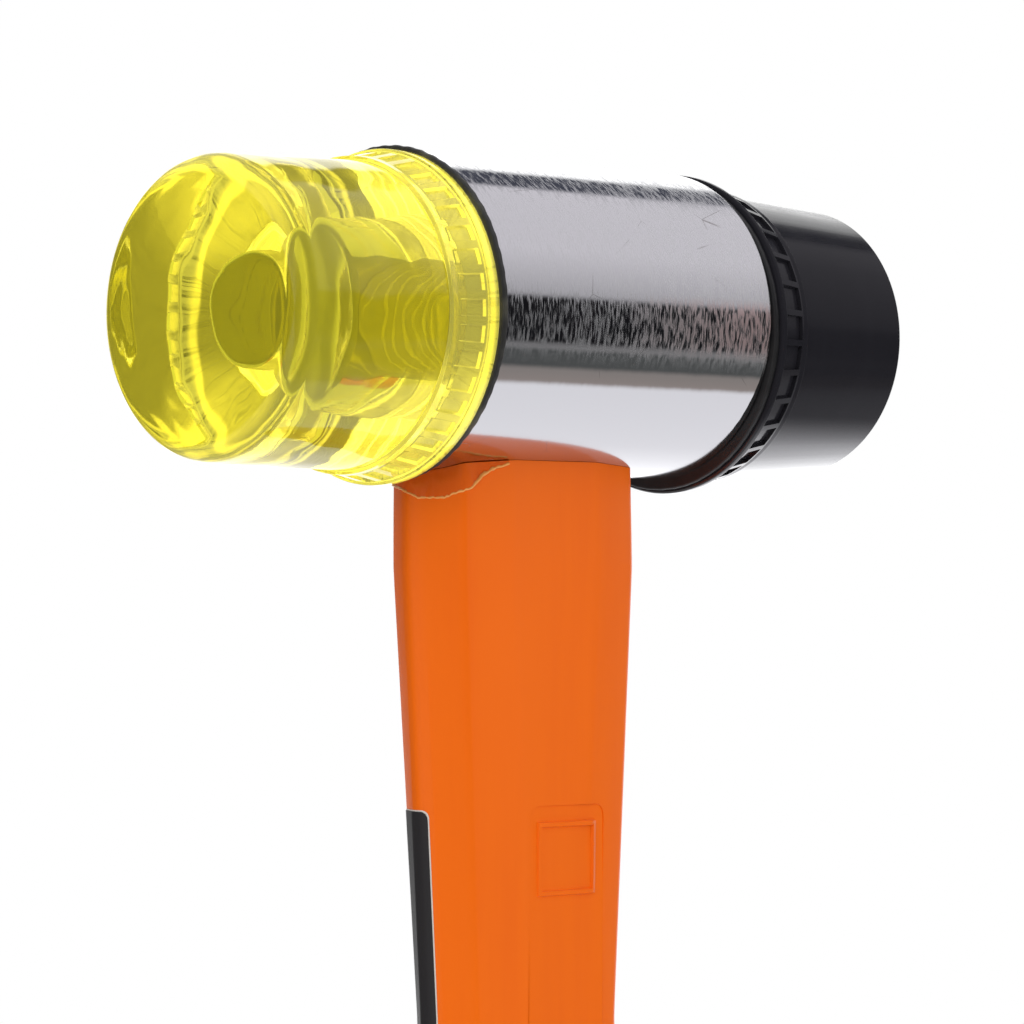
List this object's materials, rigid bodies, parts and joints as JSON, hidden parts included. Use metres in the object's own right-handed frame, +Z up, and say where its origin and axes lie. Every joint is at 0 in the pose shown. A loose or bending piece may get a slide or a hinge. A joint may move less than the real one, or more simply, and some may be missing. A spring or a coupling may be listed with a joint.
{
  "type": "soft face hammer",
  "caption": "Soft face hammer with a chromed cylindrical head, a clear yellow and a black screw-in striking face, a faceted handle and a rubber grip with a hanging hole.",
  "frame": {"origin": "middle of the butt's flat end, on the handle's axis", "axes": "+Z up the handle towards the head, +X along the head from the yellow face to the black face"},
  "size_m": [0.0987, 0.039, 0.3015],
  "materials": {
    "chromed_steel": "bright chrome plate over fine turning marks, with small scratches",
    "clear_yellow_plastic": "clear yellow moulded plastic, glossy",
    "black_plastic": "satin black moulded plastic",
    "dark_ring": "dark worn rubber",
    "fibreglass": "pultruded glass fibre rod",
    "epoxy": "cured resin",
    "orange_plastic": "satin orange moulded plastic",
    "grip_rubber": "fine-textured black rubber"
  },
  "bodies": {
    "hammer": {"head_body": "chromed_steel", "epoxy_bond": "epoxy", "handle_core": "fibreglass", "handle_jacket": "orange_plastic", "grip_sleeve": "grip_rubber"},
    "yellow_ring": {"yellow_seat_ring": "dark_ring"},
    "yellow_striker": {"yellow_face": "clear_yellow_plastic"},
    "black_ring": {"black_seat_ring": "dark_ring"},
    "black_striker": {"black_face": "black_plastic"}
  },
  "joints": [
    {"name": "yellow_face_travel", "type": "slide", "parent": "hammer", "child": "yellow_ring", "axis": [-1, 0, 0], "range_m": [0, 0.009]},
    {"name": "yellow_face_turn", "type": "hinge", "parent": "yellow_ring", "child": "yellow_striker", "pos_m": [-0.0199, 0, 0.282], "axis": [-1, 0, 0], "range_deg": [0, 1620]},
    {"name": "black_face_travel", "type": "slide", "parent": "hammer", "child": "black_ring", "axis": [1, 0, 0], "range_m": [0, 0.009]},
    {"name": "black_face_turn", "type": "hinge", "parent": "black_ring", "child": "black_striker", "pos_m": [0.0248, 0, 0.282], "axis": [1, 0, 0], "range_deg": [0, 1620]}
  ],
  "couplings": [
    {"joint": "yellow_face_turn", "follows": "yellow_face_travel", "rad_per_m": 3141.6},
    {"joint": "black_face_turn", "follows": "black_face_travel", "rad_per_m": 3141.6}
  ]
}
